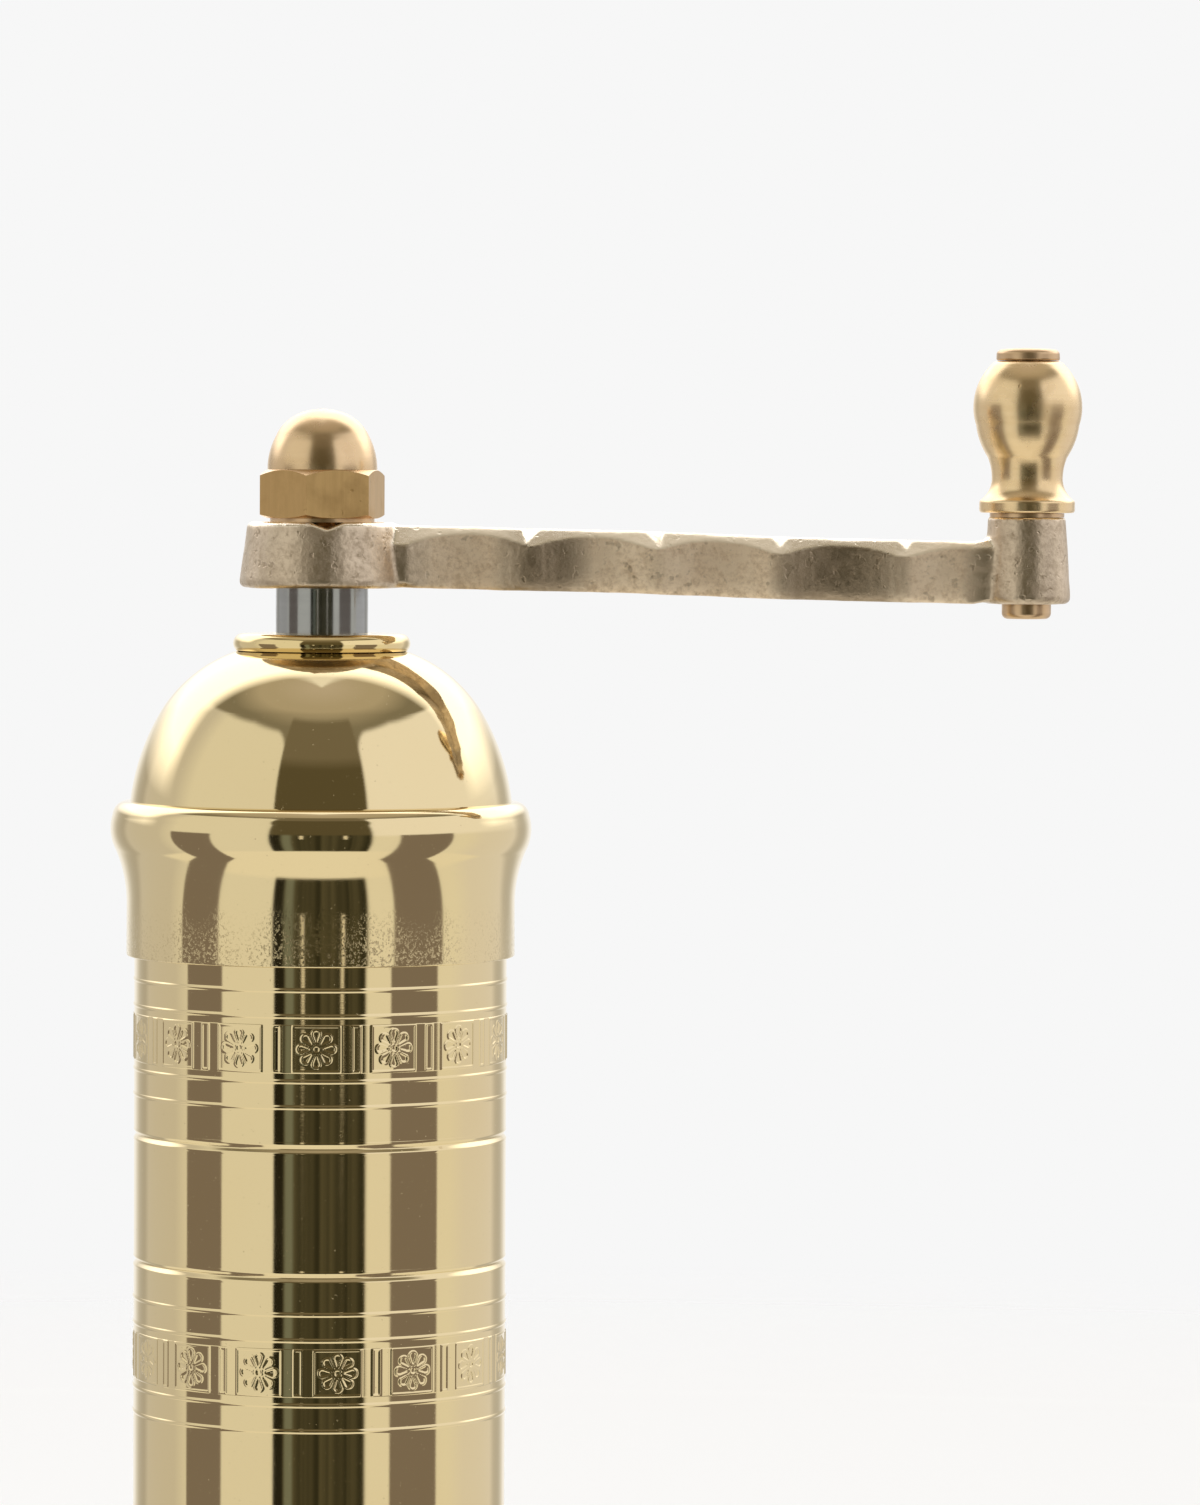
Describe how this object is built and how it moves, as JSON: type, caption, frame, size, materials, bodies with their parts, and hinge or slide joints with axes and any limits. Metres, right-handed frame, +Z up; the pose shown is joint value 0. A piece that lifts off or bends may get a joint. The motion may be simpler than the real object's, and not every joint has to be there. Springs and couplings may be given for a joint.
{
  "type": "coffee mill",
  "caption": "Cylindrical brass hand coffee mill with a domed lid, a crank with a turned knob, conical burrs and a pull-off cup.",
  "frame": {"origin": "centre of the cup's flat underside, on the mill's axis", "axes": "+Z up along the mill's axis, +X along the crank arm towards the knob"},
  "size_m": [0.1298, 0.0562, 0.23],
  "materials": {
    "polished_brass": "polished",
    "turned_brass": "turned, satin",
    "cast_brass": "sand cast",
    "plain_steel": "machined",
    "hardened_steel": "ground",
    "spring_steel": "drawn wire"
  },
  "bodies": {
    "cup": {"cup_tube": "polished_brass", "foot_ring": "polished_brass", "cup_base": "polished_brass"},
    "mill_body": {"upper_tube": "polished_brass", "burr_housing": "turned_brass", "outer_burr": "hardened_steel", "burr_screws": "plain_steel", "lower_bridge": "plain_steel", "bridge_screws": "plain_steel", "top_bridge": "turned_brass", "top_bush": "turned_brass", "shaft_spring": "spring_steel"},
    "lid": {"lid_collar": "polished_brass", "lid_dome": "polished_brass", "lid_disc": "polished_brass", "lid_bush_ring": "turned_brass"},
    "thrust": {"thrust_ball": "plain_steel"},
    "adjuster": {"adjusting_screw": "turned_brass"},
    "shaft": {"drive_shaft": "plain_steel", "inner_burr": "hardened_steel", "burr_nut": "plain_steel", "spring_washer": "plain_steel"},
    "crank": {"crank_arm": "cast_brass", "crank_washer": "turned_brass", "knob_pin": "turned_brass", "knob_washer": "turned_brass"},
    "grip": {"knob": "turned_brass"},
    "nut": {"cap_nut": "turned_brass"}
  },
  "joints": [
    {"name": "body_lift", "type": "slide", "parent": "cup", "child": "mill_body", "axis": [0, 0, 1], "range_m": [0, 0.06]},
    {"name": "lid_lift", "type": "slide", "parent": "mill_body", "child": "lid", "axis": [0, 0, 1], "range_m": [0, 0.075]},
    {"name": "burr_rise", "type": "slide", "parent": "mill_body", "child": "thrust", "axis": [0, 0, 1], "range_m": [-0.0005, 0.0005], "deforming": ["shaft_spring"]},
    {"name": "adjuster_turn", "type": "hinge", "parent": "thrust", "child": "adjuster", "pos_m": [0, 0, 0.043], "axis": [0, 0, 1], "range_deg": [-180, 180]},
    {"name": "shaft_spin", "type": "hinge", "parent": "thrust", "child": "shaft", "pos_m": [0, 0, 0.12], "axis": [0, 0, 1], "continuous": true},
    {"name": "crank_lift", "type": "slide", "parent": "shaft", "child": "crank", "axis": [0, 0, 1], "range_m": [0, 0.1]},
    {"name": "knob_spin", "type": "hinge", "parent": "crank", "child": "grip", "pos_m": [0.0944, 0, 0.218], "axis": [0, 0, 1], "continuous": true},
    {"name": "nut_turn", "type": "hinge", "parent": "crank", "child": "nut", "pos_m": [0, 0, 0.21], "axis": [0, 0, 1], "continuous": true}
  ],
  "couplings": [
    {"joint": "adjuster_turn", "follows": "burr_rise", "rad_per_m": 6283.2},
    {"joint": "lid_lift", "follows": "crank_lift", "ratio": 0.75}
  ]
}
